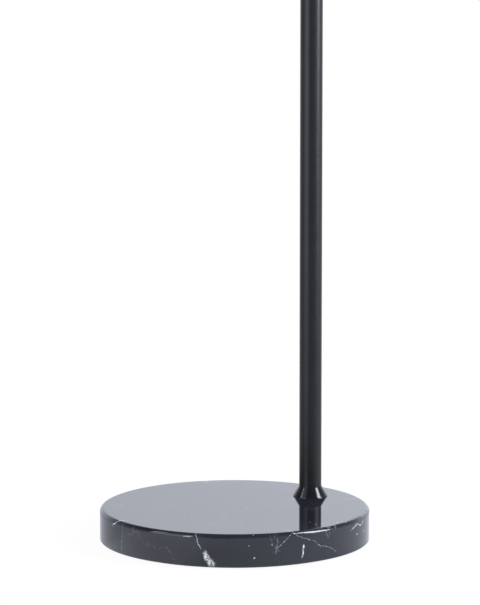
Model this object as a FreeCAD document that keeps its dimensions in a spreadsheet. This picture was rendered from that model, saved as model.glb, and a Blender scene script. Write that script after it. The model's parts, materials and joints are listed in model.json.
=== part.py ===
"""Torchiere floor lamp: a marble slab, a pole screwed to it near the rear rim, and an up-facing bowl.

Frame: origin at the centre of the underside, +Z up. The pole and the cord entry are on the +Y side, the
rear, and the bowl is over the middle of the slab. All sizes are millimetres and are cells of the sheet
"Dims"; every other length and place is an expression made of those cells.
"""

import FreeCAD
import Part

import math
import os
import re

import Sketcher

# --------------------------------------------------------------------------------------------------
# Driving dimensions: cell alias, value
# --------------------------------------------------------------------------------------------------
DIMS = {
    # marble slab and what fastens the pole to it
    "pad_thickness": 2.0,
    "pad_inset": 8.0,
    "slab_radius": 150.0,
    "slab_thickness": 36.0,
    "slab_top_round": 4.5,
    "slab_foot_chamfer": 0.8,
    "pole_offset": 104.0,
    "stud_hole_radius": 6.0,
    "recess_radius": 23.0,
    "recess_depth": 22.0,
    "channel_width": 9.0,
    "channel_wall": 4.5,
    "gland_length": 14.0,
    "gland_inset": 0.6,
    "gland_bore_radius": 3.2,
    "gland_gap": 0.05,
    "washer_radius": 19.0,
    "washer_thickness": 2.5,
    "star_washer_radius": 9.0,
    "star_washer_thickness": 1.0,
    "star_tooth": 1.2,
    "star_teeth": 10,
    "nut_flats": 17.0,
    "nut_height": 4.0,
    # M10 x 1 hollow thread that joins everything
    "thread_radius": 5.0,
    "thread_gap": 0.05,
    "thread_bore_radius": 3.8,
    "thread_tail": 1.5,
    "thread_grip": 14.0,
    # conical collar at the foot of the pole
    "collar_height": 11.0,
    "collar_foot_radius": 19.6,
    "collar_land": 0.5,
    "collar_lip": 0.5,
    "collar_floor": 3.0,
    "collar_round": 0.3,
    "gasket_radius": 15.0,
    "gasket_thickness": 0.8,
    # pole
    "pole_radius": 12.5,
    "pole_wall": 1.2,
    "pole_end_chamfer": 0.3,
    "lower_pole_length": 600.0,
    "middle_pole_length": 590.0,
    "insert_length": 16.0,
    "slip_gap": 0.1,
    "bend_radius": 55.0,
    "tilt_height": 1660.0,
    # dimmer housing between the middle and the upper pole
    "dimmer_radius": 17.0,
    "dimmer_wall": 2.0,
    "dimmer_cone": 9.0,
    "dimmer_land": 2.0,
    "dimmer_spigot": 6.0,
    "dimmer_cap_floor": 8.0,
    "dimmer_cap_bore": 9.0,
    "dimmer_shell_length": 58.0,
    "board_width": 24.0,
    "board_height": 44.0,
    "board_thickness": 1.6,
    "pot_radius": 7.5,
    "pot_depth": 8.0,
    "pot_front": 12.7,
    "bushing_radius": 3.5,
    "bushing_reach": 20.0,
    "bushing_gap": 0.2,
    "spot_radius": 6.8,
    "spot_depth": 0.9,
    "pot_nut_flats": 10.0,
    "pot_nut_height": 2.2,
    "terminal_width": 11.0,
    "terminal_depth": 9.0,
    "terminal_height": 10.0,
    "choke_radius": 5.0,
    "choke_section": 2.2,
    "choke_shift": 4.5,
    "capacitor_radius": 3.2,
    "capacitor_length": 9.0,
    # knob
    "shaft_radius": 3.0,
    "shaft_gap": 0.05,
    "shaft_reach": 29.0,
    "knob_radius": 11.0,
    "knob_length": 14.0,
    "knob_clearance": 1.5,
    "knob_hollow_radius": 7.6,
    "knob_hollow_depth": 4.0,
    "knob_flutes": 24,
    "flute_radius": 0.8,
    "knob_round": 1.0,
    "pointer_width": 1.2,
    "pointer_length": 7.0,
    "pointer_depth": 0.5,
    "grub_radius": 1.5,
    "grub_length": 5.0,
    # friction pivot at the end of the bent pole
    "hub_radius": 20.0,
    "hub_front": 19.0,
    "hub_rear": 22.0,
    "hub_wall": 6.0,
    "hub_skin": 3.5,
    "hub_round": 1.2,
    "cap_thickness": 3.0,
    "cap_spigot": 5.0,
    "cap_round": 1.5,
    "journal_radius": 7.0,
    "journal_gap": 0.05,
    "journal_bore_radius": 4.0,
    "journal_tail": 0.8,
    "flange_thickness": 3.0,
    "thrust_washer": 1.0,
    "face_gap": 0.03,
    "wave_washer": 1.2,
    "flat_washer": 1.0,
    "pivot_washer_radius": 11.0,
    "pivot_nut_flats": 19.0,
    "pivot_nut_height": 5.0,
    "boss_radius": 13.0,
    "boss_height": 26.0,
    # cup under the bowl, bowl and its ring
    "cup_height": 30.0,
    "cup_gap": 8.5,
    "cup_wall": 1.6,
    "cup_floor": 3.0,
    "bowl_rim_radius": 139.0,
    "bowl_depth": 108.0,
    "bowl_flat_radius": 34.0,
    "bowl_wall": 1.0,
    "bowl_hole_gap": 0.6,
    "bead_radius": 2.2,
    "ring_reach": 8.5,
    "ring_flange": 2.5,
    "ring_height": 9.0,
    "ring_wall": 2.6,
    "ring_notches": 6,
    "notch_radius": 1.6,
    # E27 lampholder
    "holder_radius": 19.5,
    "holder_neck_radius": 8.0,
    "holder_cone": 18.0,
    "holder_wall": 2.4,
    "holder_shell_length": 30.0,
    "holder_lip": 1.5,
    "core_thickness": 7.0,
    "sleeve_radius": 14.2,
    "sleeve_wall": 0.5,
    "sleeve_length": 22.0,
    "contact_radius": 3.0,
    "contact_height": 1.6,
    "terminal_screw_radius": 1.6,
    "terminal_screw_length": 5.0,
    "terminal_screw_spread": 9.0,
    # LED bulb
    "bulb_cap_radius": 13.2,
    "bulb_cap_wall": 0.4,
    "bulb_cap_length": 22.0,
    "bulb_pip_radius": 4.6,
    "bulb_pip_height": 1.2,
    "bulb_shank_radius": 15.0,
    "bulb_radius": 27.5,
    "bulb_body_length": 34.0,
    "bulb_skirt": 5.0,
    "bulb_wall": 1.4,
    "led_plate_thickness": 1.5,
    "led_size": 2.8,
    "led_height": 0.7,
    "led_ring_radius": 13.0,
    "led_count": 8,
    # leads held inside the lamp
    "supply_lead_radius": 3.0,
    "lamp_lead_radius": 2.5,
    "lead_gap": 0.3,
    "lead_turn_radius": 8.5,
    "holder_lead_turn": 7.0,
}

# --------------------------------------------------------------------------------------------------
# Places and sizes worked out from the driving dimensions
# --------------------------------------------------------------------------------------------------
PLACES = {
    "male_thread": "thread_radius - thread_gap",
    "female_thread": "thread_radius + thread_gap",
    "slab_top": "pad_thickness + slab_thickness",
    "recess_top": "pad_thickness + recess_depth",
    "base_washer_z": "recess_top - washer_thickness",
    "star_washer_z": "base_washer_z - star_washer_thickness",
    "base_nut_z": "star_washer_z - nut_height",
    "stud_foot": "base_nut_z - thread_tail",
    "channel_height": "channel_wall + channel_width / 2",
    "gland_rear": "slab_radius - gland_inset",
    "gland_front": "gland_rear - gland_length",
    "gland_axis_z": "pad_thickness + channel_wall",
    "pole_foot": "slab_top + collar_floor",
    "pole_inner": "pole_radius - pole_wall",
    "insert_radius": "pole_inner - slip_gap",
    "first_seam": "pole_foot + lower_pole_length",
    "dimmer_foot": "first_seam + middle_pole_length",
    "dimmer_cap": "dimmer_cone + dimmer_land",
    "dimmer_inner": "dimmer_radius - dimmer_wall",
    "dimmer_shell_z": "dimmer_foot + dimmer_cap",
    "dimmer_middle": "dimmer_shell_z + dimmer_shell_length / 2",
    "dimmer_top": "dimmer_shell_z + dimmer_shell_length + dimmer_cap",
    "pot_back": "pot_front - pot_depth",
    "board_back": "pot_back - board_thickness",
    "nut_seat": "dimmer_radius - spot_depth",
    "knob_back": "dimmer_radius + knob_clearance",
    "terminal_foot": "dimmer_shell_z + dimmer_spigot + 1",
    "terminal_head": "dimmer_shell_z + dimmer_shell_length - dimmer_spigot - 1",
    "bend_foot": "tilt_height - bend_radius",
    "spigot_face": "hub_rear + thrust_washer",
    "pole_end": "spigot_face + flange_thickness",
    "spigot_back": "pole_end + insert_length",
    "washer_stack": "wave_washer + flat_washer",
    "pivot_nut_face": "hub_rear - hub_wall - washer_stack - pivot_nut_height",
    "journal_end": "pivot_nut_face - journal_tail",
    "hub_inner": "hub_radius - hub_skin",
    "cup_z": "tilt_height + boss_height",
    "holder_z": "cup_z + cup_floor",
    "cup_top_radius": "holder_radius + cup_gap",
    "ring_radius": "holder_radius + ring_reach",
    "bowl_z": "cup_z + cup_height",
    "holder_top": "holder_cone + holder_shell_length",
    "core_z": "holder_cone - 1",
    "sleeve_z": "core_z + core_thickness",
    "bulb_pip_z": "sleeve_z + contact_height",
    "bulb_cap_z": "bulb_pip_z + bulb_pip_height",
    "bulb_body_z": "bulb_cap_z + bulb_cap_length",
    "bulb_globe_z": "bulb_body_z + bulb_body_length",
    "bowl_centre": "(bowl_rim_radius ^ 2 + bowl_depth ^ 2 - bowl_flat_radius ^ 2) / (2 * bowl_depth)",
    "bowl_sphere": "sqrt(bowl_flat_radius ^ 2 + bowl_centre ^ 2)",
}

doc = FreeCAD.newDocument("TorchiereFloorLamp")
sheet = doc.addObject("Spreadsheet::Sheet", "Dims")
for row, (alias, number) in enumerate(DIMS.items(), start=1):
    sheet.set(f"A{row}", alias)
    sheet.set(f"B{row}", str(number))
    sheet.setAlias(f"B{row}", alias)
doc.recompute()

UPRIGHT = FreeCAD.Rotation()
# Turned about a Y axis: the piece's own +Z looks to the front, -Y, and its own +Y looks up.
FRONTWARD = FreeCAD.Rotation(FreeCAD.Vector(1, 0, 0), 90)
UPSIDE_DOWN = FreeCAD.Rotation(FreeCAD.Vector(1, 0, 0), 180)
PLANES = {"xy": "XY_Plane", "xz": "XZ_Plane", "yz": "YZ_Plane"}


def formula(text):
    """The FreeCAD expression for a text that names cells and PLACES."""

    def expand(word):
        name = word.group(0)
        if name in DIMS:
            return f"Dims.{name}"
        if name in PLACES:
            return f"({formula(PLACES[name])})"
        return name

    return re.sub(r"[a-z][a-z_]*", expand, str(text))


def size(text):
    """The present value of such a text."""
    return float(sheet.evalExpression(formula(text)))


def tie(feature, path, text):
    """Binds a property to the sheet."""
    feature.setExpression(path, formula(text))


# --------------------------------------------------------------------------------------------------
# Bodies, sketches and features
# --------------------------------------------------------------------------------------------------
def new_body(label, x="0", y="0", z="0", turn=UPRIGHT):
    """An empty body of this name, with its origin at (x, y, z)."""
    body = doc.addObject("PartDesign::Body", label)
    body.Label = label
    body.Placement = FreeCAD.Placement(FreeCAD.Vector(size(x), size(y), size(z)), turn)
    for axis, text in (("x", x), ("y", y), ("z", z)):
        if text != "0":
            tie(body, f"Placement.Base.{axis}", text)
    return body


def new_sketch(body, plane, lift="0"):
    """A sketch on one of the body's own planes, raised along the plane's normal by lift."""
    sketch = body.newObject("Sketcher::SketchObject", f"{body.Name}_sketch")
    origin = [f for f in body.Origin.OriginFeatures if f.Role == PLANES[plane]][0]
    sketch.AttachmentSupport = (origin, [""])
    sketch.MapMode = "FlatFace"
    if lift != "0":
        tie(sketch, "AttachmentOffset.Base.z", lift)
    return sketch


def pin_point(sketch, geometry, end, x, y):
    """Holds one end of a sketch line or arc at (x, y), measured from the sketch's origin."""
    for kind, text, axis in (("DistanceX", x, -2), ("DistanceY", y, -1)):
        if size(text) == 0:
            sketch.addConstraint(Sketcher.Constraint("PointOnObject", geometry, end, axis))
        else:
            number = Sketcher.Constraint(kind, -1, 1, geometry, end, size(text))
            tie(sketch, f"Constraints[{sketch.addConstraint(number)}]", text)


def draw_outline(sketch, points):
    """A closed outline of straight lines through (x, y) texts."""
    flat = [FreeCAD.Vector(size(x), size(y), 0) for x, y in points]
    first = sketch.GeometryCount
    count = len(points)
    for i in range(count):
        sketch.addGeometry(Part.LineSegment(flat[i], flat[(i + 1) % count]))
    for i in range(count):
        following = first + (i + 1) % count
        sketch.addConstraint(Sketcher.Constraint("Coincident", first + i, 2, following, 1))
    for i, (x, y) in enumerate(points):
        pin_point(sketch, first + i, 1, x, y)


def draw_circle(sketch, radius, x="0", y="0"):
    """A circle of this radius about (x, y)."""
    centre = FreeCAD.Vector(size(x), size(y), 0)
    circle = sketch.addGeometry(Part.Circle(centre, FreeCAD.Vector(0, 0, 1), size(radius)))
    number = sketch.addConstraint(Sketcher.Constraint("Radius", circle, size(radius)))
    tie(sketch, f"Constraints[{number}]", radius)
    pin_point(sketch, circle, 3, x, y)


def draw_box(sketch, low_x, high_x, low_y, high_y):
    """A rectangle with its sides along the sketch's axes."""
    draw_outline(sketch, [(low_x, low_y), (high_x, low_y), (high_x, high_y), (low_x, high_y)])


def revolve(body, sketch, kind="PartDesign::Revolution"):
    """Turns the sketch about its own vertical axis."""
    feature = body.newObject(kind, f"{body.Name}_turn")
    feature.Profile = sketch
    feature.ReferenceAxis = (sketch, ["V_Axis"])
    feature.Angle = 360
    doc.recompute()
    return feature


def extrude(body, sketch, length, reverse=False, kind="PartDesign::Pad"):
    """Pads or pockets the sketch by length. A pocket has to take material away."""
    before = body.Shape.Volume if body.Shape and not body.Shape.isNull() else 0.0
    feature = body.newObject(kind, f"{body.Name}_run")
    feature.Profile = sketch
    tie(feature, "Length", length)
    feature.Reversed = reverse
    doc.recompute()
    change = body.Shape.Volume - before
    if change * (-1 if kind == "PartDesign::Pocket" else 1) <= 0:
        raise RuntimeError(f"{feature.Name} of {body.Label} changed nothing")
    return feature


def pocket(body, sketch, length, reverse=False):
    """Cuts the sketch's shape out of the body, length deep."""
    return extrude(body, sketch, length, reverse, "PartDesign::Pocket")


def pattern_round(body, feature, count, axis="Z_Axis"):
    """Repeats a feature count times about one of the body's own axes, and ends the body with it."""
    pattern = body.newObject("PartDesign::PolarPattern", f"{body.Name}_pattern")
    pattern.Originals = [feature]
    line = [f for f in body.Origin.OriginFeatures if f.Role == axis][0]
    pattern.Axis = (line, [""])
    pattern.Angle = 360
    tie(pattern, "Occurrences", count)
    body.Tip = pattern
    doc.recompute()
    return pattern


def ring_edges(feature, radius, height):
    """Names of a feature's circular edges about its own Z axis, by radius and height."""
    found = []
    for i, edge in enumerate(feature.Shape.Edges, start=1):
        curve = edge.Curve
        if not isinstance(curve, Part.Circle) or abs(curve.Radius - size(radius)) > 1e-4:
            continue
        off_axis = math.hypot(curve.Center.x, curve.Center.y)
        if off_axis < 1e-6 and abs(curve.Center.z - size(height)) < 1e-4:
            found.append(f"Edge{i}")
    if not found:
        raise RuntimeError(f"no edge of radius {radius} at {height} on {feature.Name}")
    return found


def soften(body, feature, rims, amount, kind="PartDesign::Fillet"):
    """Rounds, or chamfers, the circular edges given as (radius, height)."""
    names = [name for radius, height in rims for name in ring_edges(feature, radius, height)]
    soft = body.newObject(kind, f"{body.Name}_edge")
    soft.Base = (feature, names)
    tie(soft, "Radius" if kind == "PartDesign::Fillet" else "Size", amount)
    doc.recompute()
    return soft


def turned(label, outline, x="0", y="0", z="0", turn=UPRIGHT):
    """A body turned from an outline of (radius, height)."""
    body = new_body(label, x, y, z, turn)
    sketch = new_sketch(body, "xz")
    draw_outline(sketch, outline)
    revolve(body, sketch)
    return body


def sleeve(label, inner, outer, height, **place):
    """A plain ring or tube."""
    outline = [(inner, "0"), (outer, "0"), (outer, height), (inner, height)]
    return turned(label, outline, **place)


def disc(label, radius, height, **place):
    return turned(label, [("0", "0"), (radius, "0"), (radius, height), ("0", height)], **place)


def hexagon_nut(label, flats, bore, height, **place):
    """A hexagon nut, its flats facing its own X and its hole through it."""
    body = new_body(label, **place)
    sketch = new_sketch(body, "xy")
    corner = size(flats) / math.sqrt(3)
    turns = [math.radians(30 + 60 * i) for i in range(6)]
    spots = [FreeCAD.Vector(corner * math.cos(t), corner * math.sin(t), 0) for t in turns]
    for i in range(6):
        sketch.addGeometry(Part.LineSegment(spots[i], spots[(i + 1) % 6]))
    circle = sketch.addGeometry(
        Part.Circle(FreeCAD.Vector(), FreeCAD.Vector(0, 0, 1), corner), True
    )
    for i in range(6):
        sketch.addConstraint(Sketcher.Constraint("Coincident", i, 2, (i + 1) % 6, 1))
        sketch.addConstraint(Sketcher.Constraint("PointOnObject", i, 1, circle))
    for i in range(5):
        sketch.addConstraint(Sketcher.Constraint("Equal", i, i + 1))
    sketch.addConstraint(Sketcher.Constraint("Coincident", circle, 3, -1, 1))
    sketch.addConstraint(Sketcher.Constraint("Vertical", 5))
    number = sketch.addConstraint(Sketcher.Constraint("Radius", circle, corner))
    tie(sketch, f"Constraints[{number}]", f"{flats} / sqrt(3)")
    draw_circle(sketch, bore)
    extrude(body, sketch, height)
    return body


def block(label, low, high):
    """A box between two corners, given as texts."""
    body = new_body(label, z=low[2])
    sketch = new_sketch(body, "xy")
    draw_box(sketch, low[0], high[0], low[1], high[1])
    extrude(body, sketch, f"{high[2]} - ({low[2]})")
    return body


def bend(path, before, corner, after, radius):
    """Draws the arc that rounds a corner. Returns its two ends' places and their sketch numbers."""
    back = (before - corner).normalize()
    on = (after - corner).normalize()
    half = back.getAngle(on) / 2
    hub = corner + (back + on).normalize() * (radius / math.sin(half))
    places = [corner + way * (radius / math.tan(half)) for way in (back, on)]
    angles = [math.atan2(place.y - hub.y, place.x - hub.x) for place in places]
    left_turn = back.cross(on).z < 0
    low, high = angles if left_turn else reversed(angles)
    if high < low:
        high += 2 * math.pi
    path.addGeometry(Part.ArcOfCircle(Part.Circle(hub, FreeCAD.Vector(0, 0, 1), radius), low, high))
    return places, ((1, 2) if left_turn else (2, 1))


def run_along(body, route, radius, draw_section):
    """Sweeps a section along two straight runs in the body's YZ plane, rounded where they meet.

    route holds three (y, z) texts. draw_section draws on a sketch at the route's start; the first run
    leaves it along Y or along Z.
    """
    start, corner, finish = [FreeCAD.Vector(size(y), size(z), 0) for y, z in route]
    path = new_sketch(body, "yz")
    places, ends = bend(path, start, corner, finish, size(radius))
    path.addGeometry(Part.LineSegment(start, places[0]))
    path.addGeometry(Part.LineSegment(places[1], finish))
    along_y = abs(start.y - corner.y) < 1e-9
    path.addConstraint(Sketcher.Constraint("Horizontal" if along_y else "Vertical", 1))
    path.addConstraint(Sketcher.Constraint("Vertical" if along_y else "Horizontal", 2))
    path.addConstraint(Sketcher.Constraint("Tangent", 1, 2, 0, ends[0]))
    path.addConstraint(Sketcher.Constraint("Tangent", 0, ends[1], 2, 1))
    number = path.addConstraint(Sketcher.Constraint("Radius", 0, size(radius)))
    tie(path, f"Constraints[{number}]", radius)
    pin_point(path, 1, 1, *route[0])
    pin_point(path, 2, 2, *route[2])
    doc.recompute()
    if along_y:
        section = new_sketch(body, "xz", f"-({route[0][0]})")
    else:
        section = new_sketch(body, "xy", route[0][1])
    draw_section(section)
    pipe = body.newObject("PartDesign::AdditivePipe", f"{body.Name}_pipe")
    pipe.Profile = section
    pipe.Spine = (path, [])
    doc.recompute()
    length = path.Shape.Length
    print(f"{body.Label}: {length:.1f} mm long, section {pipe.Shape.Volume / length:.2f} mm2")


# --------------------------------------------------------------------------------------------------
# Base
# --------------------------------------------------------------------------------------------------
def arch(sketch, half_width, height, foot="0"):
    """A tunnel section that stands on foot: upright sides under a half-round top, height high in all."""
    w, spring, low = size(half_width), size(f"{height} - {half_width}"), size(foot)
    v = FreeCAD.Vector
    sketch.addGeometry(Part.LineSegment(v(-w, low, 0), v(w, low, 0)))
    sketch.addGeometry(Part.LineSegment(v(w, low, 0), v(w, spring, 0)))
    sketch.addGeometry(Part.Arc(v(w, spring, 0), v(0, spring + w, 0), v(-w, spring, 0)))
    sketch.addGeometry(Part.LineSegment(v(-w, spring, 0), v(-w, low, 0)))
    for left, left_end, right, right_end in ((0, 2, 1, 1), (3, 2, 0, 1)):
        sketch.addConstraint(Sketcher.Constraint("Coincident", left, left_end, right, right_end))
    sketch.addConstraint(Sketcher.Constraint("Tangent", 1, 2, 2, 1))
    sketch.addConstraint(Sketcher.Constraint("Tangent", 2, 2, 3, 1))
    sketch.addConstraint(Sketcher.Constraint("Horizontal", 0))
    sketch.addConstraint(Sketcher.Constraint("Vertical", 1))
    sketch.addConstraint(Sketcher.Constraint("Vertical", 3))
    number = sketch.addConstraint(Sketcher.Constraint("Radius", 2, w))
    tie(sketch, f"Constraints[{number}]", half_width)
    pin_point(sketch, 2, 3, "0", f"{height} - ({half_width})")
    if low == 0:
        sketch.addConstraint(Sketcher.Constraint("PointOnObject", 0, 1, -1))
    else:
        number = sketch.addConstraint(Sketcher.Constraint("DistanceY", -1, 1, 0, 1, low))
        tie(sketch, f"Constraints[{number}]", foot)


def make_slab():
    """Marble slab: rounded top edge, stud hole, nut recess and cord channel from below."""
    body = new_body("marble_slab", z="pad_thickness")
    sketch = new_sketch(body, "xz")
    draw_outline(
        sketch,
        [("0", "0"), ("slab_radius", "0"), ("slab_radius", "slab_thickness"), ("0", "slab_thickness")],
    )
    solid = revolve(body, sketch)
    solid = soften(body, solid, [("slab_radius", "slab_thickness")], "slab_top_round")
    soften(body, solid, [("slab_radius", "0")], "slab_foot_chamfer", "PartDesign::Chamfer")
    hole = new_sketch(body, "xy")
    draw_circle(hole, "stud_hole_radius", y="pole_offset")
    pocket(body, hole, "slab_thickness", reverse=True)
    recess = new_sketch(body, "xy")
    draw_circle(recess, "recess_radius", y="pole_offset")
    pocket(body, recess, "recess_depth", reverse=True)
    channel = new_sketch(body, "xz", "-(pole_offset)")
    arch(channel, "channel_width / 2", "channel_height")
    pocket(body, channel, "slab_radius - pole_offset + 1")


def make_gland():
    """Rubber bush that fills the end of the cord channel, with the cord's hole through it."""
    body = new_body("cord_gland", z="pad_thickness")
    sketch = new_sketch(body, "xz", "-(gland_front)")
    arch(sketch, "channel_width / 2 - gland_gap", "channel_height - gland_gap")
    draw_circle(sketch, "gland_bore_radius", y="channel_wall")
    extrude(body, sketch, "gland_length", reverse=True)


def make_base_fastening():
    """What clamps the pole to the slab from below, and the collar and its gasket above."""
    at_pole = {"y": "pole_offset"}
    sleeve("base_washer", "female_thread", "washer_radius", "washer_thickness", z="base_washer_z", **at_pole)
    star = sleeve(
        "base_star_washer", "female_thread", "star_washer_radius", "star_washer_thickness",
        z="star_washer_z", **at_pole,
    )
    tooth = new_sketch(star, "xy")
    draw_box(tooth, "star_washer_radius - star_tooth", "star_washer_radius + 1", "0", "star_tooth")
    cut = pocket(star, tooth, "star_washer_thickness", reverse=True)
    pattern_round(star, cut, "star_teeth")
    hexagon_nut("base_nut", "nut_flats", "female_thread", "nut_height", z="base_nut_z", **at_pole)
    sleeve(
        "base_stud", "thread_bore_radius", "male_thread", "pole_foot + thread_grip - stud_foot",
        z="stud_foot", **at_pole,
    )
    sleeve("collar_gasket", "stud_hole_radius", "gasket_radius - slip_gap", "gasket_thickness",
           z="slab_top", **at_pole)
    lip = "pole_radius + slip_gap"
    collar = turned(
        "base_collar",
        [
            ("female_thread", "gasket_thickness"),
            ("gasket_radius", "gasket_thickness"),
            ("gasket_radius", "0"),
            ("collar_foot_radius", "0"),
            ("collar_foot_radius", "collar_land"),
            (f"{lip} + collar_lip", "collar_height"),
            (lip, "collar_height"),
            (lip, "collar_floor"),
            ("female_thread", "collar_floor"),
        ],
        z="slab_top",
        **at_pole,
    )
    soften(collar, collar.Tip, [("collar_foot_radius", "collar_land")], "collar_round")


def make_base():
    disc("base_pad", "slab_radius - pad_inset", "pad_thickness")
    make_slab()
    make_gland()
    make_base_fastening()


# --------------------------------------------------------------------------------------------------
# Pole
# --------------------------------------------------------------------------------------------------
def pole_tube(label, length, foot):
    """A straight pole section, its ends slightly chamfered so that a seam shows as a hairline."""
    edge = "pole_end_chamfer"
    turned(
        label,
        [
            ("pole_inner", "0"),
            (f"pole_radius - {edge}", "0"),
            ("pole_radius", edge),
            ("pole_radius", f"{length} - {edge}"),
            (f"pole_radius - {edge}", length),
            ("pole_inner", length),
        ],
        y="pole_offset",
        z=foot,
    )


def make_bent_pole():
    """Upper pole: up from the dimmer, then bent forward to point at the pivot."""
    body = new_body("pole_upper")

    def section(sketch):
        draw_circle(sketch, "pole_radius", y="pole_offset")
        draw_circle(sketch, "pole_inner", y="pole_offset")

    route = [("pole_offset", "dimmer_top"), ("pole_offset", "tilt_height"), ("pole_end", "tilt_height")]
    run_along(body, route, "bend_radius", section)


def make_pole():
    pole_tube("pole_lower", "lower_pole_length", "pole_foot")
    pole_tube("pole_middle", "middle_pole_length", "first_seam")
    make_bent_pole()
    inserts = {
        "lower_pole_foot_insert": "pole_foot",
        "lower_pole_head_insert": "first_seam - insert_length",
        "middle_pole_foot_insert": "first_seam",
        "middle_pole_head_insert": "dimmer_foot - insert_length",
        "upper_pole_foot_insert": "dimmer_top",
    }
    for label, foot in inserts.items():
        sleeve(label, "female_thread", "insert_radius", "insert_length", y="pole_offset", z=foot)
    sleeve(
        "pole_joiner", "thread_bore_radius", "male_thread", "2 * thread_grip",
        y="pole_offset", z="first_seam - thread_grip",
    )


# --------------------------------------------------------------------------------------------------
# Dimmer
# --------------------------------------------------------------------------------------------------
def dimmer_cap(label, foot, turn):
    """Conical end of the dimmer housing, screwed to a pole section and plugged into the shell."""
    turned(
        label,
        [
            ("female_thread", "0"),
            ("pole_radius", "0"),
            ("dimmer_radius", "dimmer_cone"),
            ("dimmer_radius", "dimmer_cap"),
            ("dimmer_inner - slip_gap", "dimmer_cap"),
            ("dimmer_inner - slip_gap", "dimmer_cap + dimmer_spigot"),
            ("dimmer_cap_bore", "dimmer_cap + dimmer_spigot"),
            ("dimmer_cap_bore", "dimmer_cap_floor"),
            ("female_thread", "dimmer_cap_floor"),
        ],
        y="pole_offset",
        z=foot,
        turn=turn,
    )


def make_dimmer_housing():
    dimmer_cap("dimmer_lower_cap", "dimmer_foot", UPRIGHT)
    dimmer_cap("dimmer_upper_cap", "dimmer_top", UPSIDE_DOWN)
    shell = sleeve(
        "dimmer_shell", "dimmer_inner", "dimmer_radius", "dimmer_shell_length",
        y="pole_offset", z="dimmer_shell_z",
    )
    spot = new_sketch(shell, "xz", "nut_seat")
    draw_circle(spot, "spot_radius", y="dimmer_shell_length / 2")
    pocket(shell, spot, "dimmer_wall", reverse=True)
    hole = new_sketch(shell, "xz")
    draw_circle(hole, "bushing_radius + bushing_gap", y="dimmer_shell_length / 2")
    pocket(shell, hole, "dimmer_radius", reverse=True)
    studs = {"dimmer_lower_stud": "dimmer_foot", "dimmer_upper_stud": "dimmer_top"}
    for label, seam in studs.items():
        inward = "dimmer_cap_floor - 1"
        low = f"{seam} - thread_grip" if label == "dimmer_lower_stud" else f"{seam} - ({inward})"
        sleeve(label, "thread_bore_radius", "male_thread", f"thread_grip + {inward}", y="pole_offset", z=low)


def make_dimmer_electrics():
    """Board, control and the parts on the board, all behind the shell's front."""
    axis = {"y": "pole_offset", "z": "dimmer_middle", "turn": FRONTWARD}
    plane = "pole_offset - board_back"
    half = "board_width / 2"
    block(
        "dimmer_board",
        (f"-({half})", "pole_offset - pot_back", "dimmer_middle - board_height / 2"),
        (half, plane, "dimmer_middle + board_height / 2"),
    )
    turned(
        "dimmer_control",
        [
            ("shaft_radius + shaft_gap", "pot_back"),
            ("pot_radius", "pot_back"),
            ("pot_radius", "pot_front"),
            ("bushing_radius", "pot_front"),
            ("bushing_radius", "bushing_reach"),
            ("shaft_radius + shaft_gap", "bushing_reach"),
        ],
        **axis,
    )
    hexagon_nut(
        "dimmer_control_nut", "pot_nut_flats", "bushing_radius + thread_gap", "pot_nut_height",
        y="pole_offset - nut_seat", z="dimmer_middle", turn=FRONTWARD,
    )
    side = "terminal_width / 2"
    for label, low, high in (
        ("supply_terminal", "terminal_foot", "terminal_foot + terminal_height"),
        ("lamp_terminal", "terminal_head - terminal_height", "terminal_head"),
    ):
        block(label, (f"-({side})", plane, low), (side, f"{plane} + terminal_depth", high))
    make_choke(plane)
    disc(
        "dimmer_capacitor", "capacitor_radius", "capacitor_length",
        x="choke_shift + capacitor_radius", y=f"{plane} + capacitor_radius",
        z="dimmer_middle - capacitor_length / 2",
    )


def make_choke(plane):
    """Ring choke that lies on the back of the board."""
    sleeve(
        "dimmer_choke", "choke_radius - choke_section", "choke_radius + choke_section",
        "2 * choke_section",
        x="choke_shift - choke_radius - choke_section - lead_gap",
        y=f"{plane} + 2 * choke_section",
        z="dimmer_middle",
        turn=FRONTWARD,
    )


def make_knob():
    """Control shaft, fluted knob with a pointer line, and its grub screw."""
    axis = {"y": "pole_offset", "z": "dimmer_middle", "turn": FRONTWARD}
    turned(
        "dimmer_shaft",
        [
            ("0", "pot_back + 1"),
            ("shaft_radius", "pot_back + 1"),
            ("shaft_radius", "shaft_reach"),
            ("0", "shaft_reach"),
        ],
        **axis,
    )
    front = "knob_back + knob_length"
    seat = "(shaft_radius + shaft_gap)"
    knob = turned(
        "dimmer_knob",
        [
            ("0", "shaft_reach + shaft_gap"),
            (seat, "shaft_reach + shaft_gap"),
            (seat, "knob_back + knob_hollow_depth"),
            ("knob_hollow_radius", "knob_back + knob_hollow_depth"),
            ("knob_hollow_radius", "knob_back"),
            ("knob_radius", "knob_back"),
            ("knob_radius", front),
            ("0", front),
        ],
        **axis,
    )
    soften(knob, knob.Tip, [("knob_radius", front)], "knob_round")
    flute = new_sketch(knob, "xy", "knob_back")
    draw_circle(flute, "flute_radius", x="knob_radius + flute_radius / 2")
    cut = pocket(knob, flute, "knob_length - 2 * knob_round", reverse=True)
    pattern_round(knob, cut, "knob_flutes")
    line = new_sketch(knob, "xy", front)
    draw_box(line, "-(pointer_width / 2)", "pointer_width / 2", "2", "2 + pointer_length")
    pocket(knob, line, "pointer_depth")
    grub_z = "(knob_back + knob_hollow_depth + shaft_reach) / 2"
    hole = new_sketch(knob, "xz")
    draw_circle(hole, "grub_radius", y=grub_z)
    pocket(knob, hole, "knob_radius + 1", reverse=True)
    disc(
        "knob_grub_screw", "grub_radius - slip_gap", "grub_length",
        y=f"pole_offset - ({grub_z})", z=f"dimmer_middle - {seat} - grub_length",
    )


def make_dimmer():
    make_dimmer_housing()
    make_dimmer_electrics()
    make_knob()


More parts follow.
